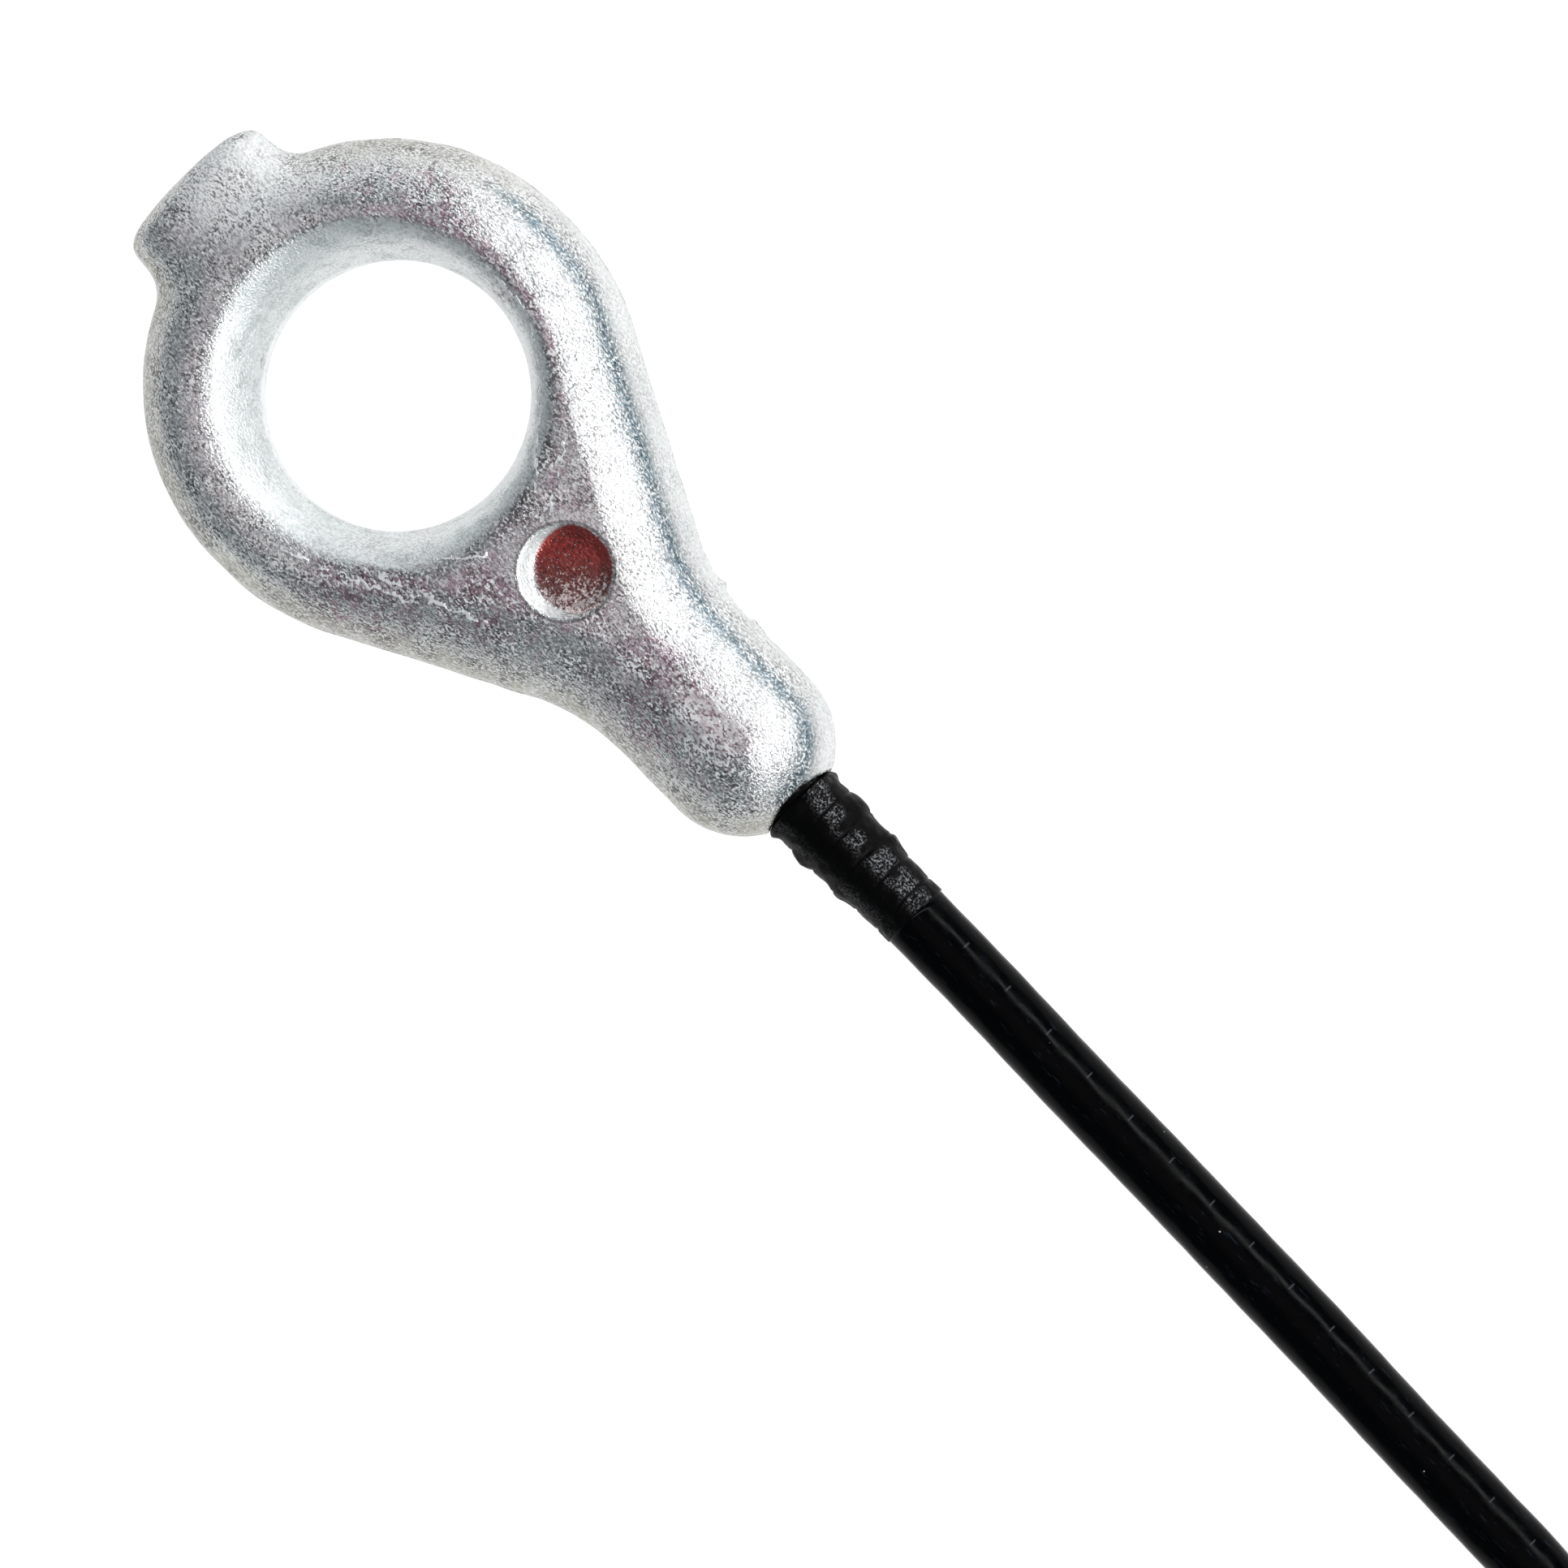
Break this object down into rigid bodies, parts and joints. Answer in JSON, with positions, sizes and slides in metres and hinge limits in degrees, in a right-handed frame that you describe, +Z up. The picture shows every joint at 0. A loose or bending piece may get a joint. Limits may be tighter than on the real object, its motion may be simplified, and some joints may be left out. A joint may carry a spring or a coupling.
{
  "type": "cast rope eye",
  "caption": "Die-cast metal eye with a round rounded-edge bore, cast onto a black coated wire rope; the rest of the rope is tied in a hank and ends in an equal eye.",
  "frame": {"origin": "on the surface that the fitting lies on, under the middle of the fitting's length from gate stub to gripped sheath", "axes": "+X along the fitting towards the cable, +Z up along the eye's bore"},
  "size_m": [0.2388, 0.0663, 0.0235],
  "materials": {
    "zinc_casting": "bright satin die-cast zinc alloy",
    "copper_ferrule": "crimped copper",
    "rope_steel": "drawn galvanised wire",
    "gripped_sheath": "matt black nylon, ribbed by the die",
    "cable_sheath": "glossy black nylon",
    "tie_nylon": "moulded black nylon"
  },
  "bodies": {
    "root": {"eye_casting": "zinc_casting", "anchor_ferrule": "copper_ferrule", "sheath_collar": "gripped_sheath", "rope_core_strand": "rope_steel", "rope_strand_1": "rope_steel", "rope_strand_2": "rope_steel", "rope_strand_3": "rope_steel", "rope_strand_4": "rope_steel", "rope_strand_5": "rope_steel", "rope_strand_6": "rope_steel", "far_eye_casting": "zinc_casting", "far_anchor_ferrule": "copper_ferrule", "far_sheath_collar": "gripped_sheath", "far_rope_core_strand": "rope_steel", "far_rope_strand_1": "rope_steel", "far_rope_strand_2": "rope_steel", "far_rope_strand_3": "rope_steel", "far_rope_strand_4": "rope_steel", "far_rope_strand_5": "rope_steel", "far_rope_strand_6": "rope_steel", "cable_lead": "cable_sheath", "cable_hank": "cable_sheath", "cable_tail": "cable_sheath", "hank_tie_1": "tie_nylon", "hank_tie_2": "tie_nylon"}
  },
  "joints": []
}
